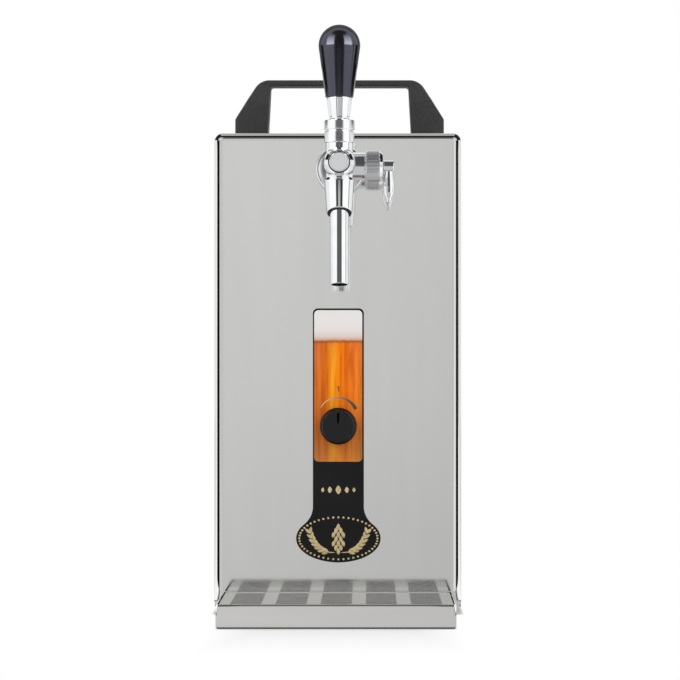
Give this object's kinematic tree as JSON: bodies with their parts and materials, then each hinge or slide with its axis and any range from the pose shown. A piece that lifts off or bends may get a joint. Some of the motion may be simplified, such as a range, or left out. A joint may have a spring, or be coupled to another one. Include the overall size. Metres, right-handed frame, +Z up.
{
  "type": "draft beer dispenser",
  "caption": "Countertop draught beer cooler in a steel housing with a chrome compensator tap, carry handle, thermostat knob and drip tray.",
  "frame": {"origin": "on the table, under the middle of the whole object's box", "axes": "+Z up, -Y the way the tap looks, +X to the right of someone facing the tap"},
  "size_m": [0.1786, 0.3936, 0.407],
  "materials": {
    "polished_steel": "bright annealed stainless sheet, near mirror",
    "satin_steel": "stainless sheet with a fine satin grain",
    "zinc_steel": "zinc plated",
    "beer_tube_steel": "drawn stainless tube and turned stainless",
    "tap_chrome": "polished chrome plate on brass",
    "turned_brass": "turned",
    "black_phenolic": "moulded, semi-gloss",
    "black_nylon": "moulded with a fine matt grain",
    "black_abs": "moulded, low sheen",
    "red_rocker": "moulded",
    "label_print": "printed plate with a clear domed coat",
    "black_rubber": "moulded",
    "white_plastic": "moulded",
    "blue_collet": "moulded",
    "foam_white": "moulded bead foam",
    "cast_aluminium": "cast and rolled",
    "copper_tube": "drawn copper",
    "black_enamel": "black enamel",
    "grey_plastic": "moulded"
  },
  "bodies": {
    "housing": {"front_panel": "polished_steel", "outer_cover": "satin_steel", "rear_panel": "satin_steel", "base_plate": "satin_steel", "housing_screws": "zinc_steel", "handle_bolts": "zinc_steel", "lever_pin": "zinc_steel", "compressor_bolts": "zinc_steel", "tap_shank": "beer_tube_steel", "product_coil": "beer_tube_steel", "outlet_line": "beer_tube_steel", "inlet_line": "beer_tube_steel", "tap_rosette": "tap_chrome", "coupling_nut": "tap_chrome", "tap_body": "tap_chrome", "front_plug": "tap_chrome", "collar_nut": "tap_chrome", "spout": "tap_chrome", "compensator_nut": "tap_chrome", "thermostat_nut": "turned_brass", "shank_nut": "turned_brass", "spindle_gland": "turned_brass", "carry_handle": "black_nylon", "cable_gland": "black_abs", "switch_frame": "black_abs", "label_plate": "label_print", "rubber_feet": "black_rubber", "tap_seals": "black_rubber", "compressor_grommets": "black_rubber", "thermostat_body": "white_plastic", "terminal_box": "white_plastic", "inlet_fitting": "white_plastic", "insulation_jacket": "foam_white", "insulation_lid": "foam_white", "cooling_block": "cast_aluminium", "condenser_fins": "cast_aluminium", "thermostat_bulb": "copper_tube", "evaporator_coil": "copper_tube", "condenser_tubes": "copper_tube", "filter_drier": "copper_tube", "refrigerant_lines": "copper_tube", "compressor": "black_enamel", "fan_shroud": "grey_plastic", "fan_motor": "grey_plastic"},
    "tap_lever": {"lever_yoke": "tap_chrome", "handle_ferrule": "tap_chrome", "tap_grip": "black_phenolic"},
    "valve": {"valve_spindle": "beer_tube_steel", "valve_washer": "black_rubber"},
    "compensator": {"compensator_spindle": "beer_tube_steel", "compensator_lever": "tap_chrome"},
    "flow_cone": {"compensator_cone": "white_plastic"},
    "thermostat_dial": {"thermostat_knob": "black_abs", "thermostat_shaft": "zinc_steel"},
    "tray": {"drip_tray": "satin_steel"},
    "grille": {"drip_grille": "satin_steel"},
    "fan": {"fan_rotor": "grey_plastic"},
    "rocker": {"switch_rocker": "red_rocker"},
    "collet": {"inlet_collet": "blue_collet"}
  },
  "joints": [
    {"name": "lever_tilt", "type": "hinge", "parent": "housing", "child": "tap_lever", "pos_m": [0.002, -0.17303, 0.3395], "axis": [1, 0, 0], "range_deg": [0, 30]},
    {"name": "valve_lift", "type": "slide", "parent": "housing", "child": "valve", "axis": [0, 0, 1], "range_m": [0, 0.0026]},
    {"name": "compensator_turn", "type": "hinge", "parent": "housing", "child": "compensator", "pos_m": [0.002, -0.1412, 0.313], "axis": [1, 0, 0], "range_deg": [-90, 90]},
    {"name": "cone_slide", "type": "slide", "parent": "housing", "child": "flow_cone", "axis": [0, 1, 0], "range_m": [-0.00175, 0.00175]},
    {"name": "thermostat_turn", "type": "hinge", "parent": "housing", "child": "thermostat_dial", "pos_m": [0.0005, -0.1062, 0.133], "axis": [0, 1, 0], "range_deg": [0, 270]},
    {"name": "tray_pull", "type": "slide", "parent": "housing", "child": "tray", "axis": [0, -1, 0], "range_m": [0, 0.12]},
    {"name": "grille_lift", "type": "slide", "parent": "tray", "child": "grille", "axis": [0, 0, 1], "range_m": [0, 0.06]},
    {"name": "fan_spin", "type": "hinge", "parent": "housing", "child": "fan", "pos_m": [0, 0.1238, 0.2195], "axis": [0, 1, 0], "continuous": true},
    {"name": "rocker_tilt", "type": "hinge", "parent": "housing", "child": "rocker", "pos_m": [0.045, 0.1688, 0.312], "axis": [1, 0, 0], "range_deg": [0, 16]},
    {"name": "collet_press", "type": "slide", "parent": "housing", "child": "collet", "axis": [0, -1, 0], "range_m": [0, 0.0012]}
  ],
  "couplings": [
    {"joint": "valve_lift", "follows": "lever_tilt", "m_per_rad": 0.0049431},
    {"joint": "cone_slide", "follows": "compensator_turn", "m_per_rad": -0.0010823}
  ]
}
